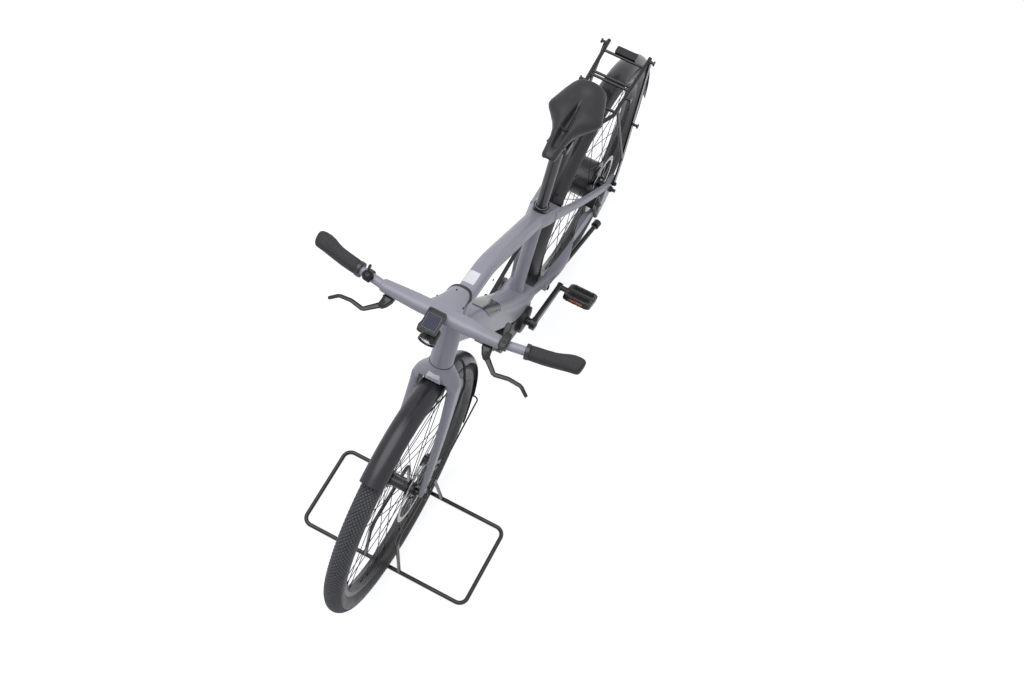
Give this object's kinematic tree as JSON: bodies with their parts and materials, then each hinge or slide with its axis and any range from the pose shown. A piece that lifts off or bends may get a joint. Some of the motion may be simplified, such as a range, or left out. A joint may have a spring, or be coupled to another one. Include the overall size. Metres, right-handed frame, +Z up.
{
  "type": "electric city bike",
  "caption": "City bicycle with a motor at the cranks, belt drive, disc brakes, mudguards and a rear rack, its front wheel held in a tube floor stand.",
  "frame": {"origin": "on the floor under the middle of the overall length, on the middle plane", "axes": "+X forward, +Y to the rider's left, +Z up"},
  "size_m": [1.8399, 0.679, 1.0554],
  "materials": {
    "frame_paint": "satin purple-grey paint",
    "black_metal": "satin black coating",
    "black_plastic": "matt",
    "grip_rubber": "matt textured",
    "tyre": "matt rubber",
    "disc_steel": "brushed",
    "spoke_steel": "black steel",
    "saddle_cover": "matt synthetic cover over foam",
    "display_face": "gloss",
    "guard_metal": "satin grey",
    "lamp_black": "gloss with clear lens",
    "smoke_plastic": "smoke-grey gloss",
    "lamp_red": "gloss red lens"
  },
  "bodies": {
    "frame": {"frame": "frame_paint", "motor": "black_metal", "seatpost": "black_metal", "seat_collar": "black_metal", "saddle": "saddle_cover", "saddle_clamp": "black_metal", "rear_mudguard": "guard_metal", "rack": "black_metal", "rear_lamp": "lamp_red", "rear_caliper": "black_metal", "belt": "grip_rubber", "rear_axle": "black_metal", "port_cover": "smoke_plastic"},
    "steering": {"fork": "frame_paint", "headset_cover": "black_plastic", "cockpit": "frame_paint", "grip_left": "grip_rubber", "grip_right": "grip_rubber", "brake_lever_left": "black_metal", "brake_lever_right": "black_metal", "display": "display_face", "headlamp": "lamp_black", "bell": "black_plastic", "remote": "black_plastic", "front_mudguard": "guard_metal", "front_stay": "black_metal", "front_caliper": "black_metal", "front_axle": "black_metal", "wheel_stand": "black_metal", "brake_hose": "black_plastic", "front_flap": "grip_rubber"},
    "front_wheel": {"front_tyre": "tyre", "front_rim": "black_metal", "front_hub": "black_metal", "front_disc": "disc_steel", "front_spokes": "spoke_steel"},
    "rear_wheel": {"rear_tyre": "tyre", "rear_rim": "black_metal", "rear_hub": "black_metal", "rear_disc": "disc_steel", "rear_spokes": "spoke_steel"},
    "cranks": {"crankset": "black_metal"},
    "pedal_left": {"pedal_left": "black_metal"},
    "pedal_right": {"pedal_right": "black_metal"},
    "kickstand": {"kickstand": "black_metal"}
  },
  "joints": [
    {"name": "steering_turn", "type": "hinge", "parent": "frame", "child": "steering", "pos_m": [0.32001, 0, 0.85], "axis": [-0.3584, 0, 0.9336], "range_deg": [-60, 60]},
    {"name": "front_wheel_spin", "type": "hinge", "parent": "steering", "child": "front_wheel", "pos_m": [0.554, 0, 0.366], "axis": [0, 1, 0], "continuous": true},
    {"name": "rear_wheel_spin", "type": "hinge", "parent": "frame", "child": "rear_wheel", "pos_m": [-0.536, 0, 0.366], "axis": [0, 1, 0], "continuous": true},
    {"name": "crank_turn", "type": "hinge", "parent": "frame", "child": "cranks", "pos_m": [-0.064, 0, 0.3], "axis": [0, 1, 0], "continuous": true},
    {"name": "pedal_left_turn", "type": "hinge", "parent": "cranks", "child": "pedal_left", "pos_m": [-0.22895, 0.148, 0.25887], "axis": [0, 1, 0], "continuous": true},
    {"name": "pedal_right_turn", "type": "hinge", "parent": "cranks", "child": "pedal_right", "pos_m": [0.10095, -0.148, 0.34113], "axis": [0, 1, 0], "continuous": true},
    {"name": "kickstand_swing", "type": "hinge", "parent": "frame", "child": "kickstand", "pos_m": [-0.198, 0.048, 0.282], "axis": [-0.0478, -0.9567, -0.287], "range_deg": [0, 84.7]}
  ]
}
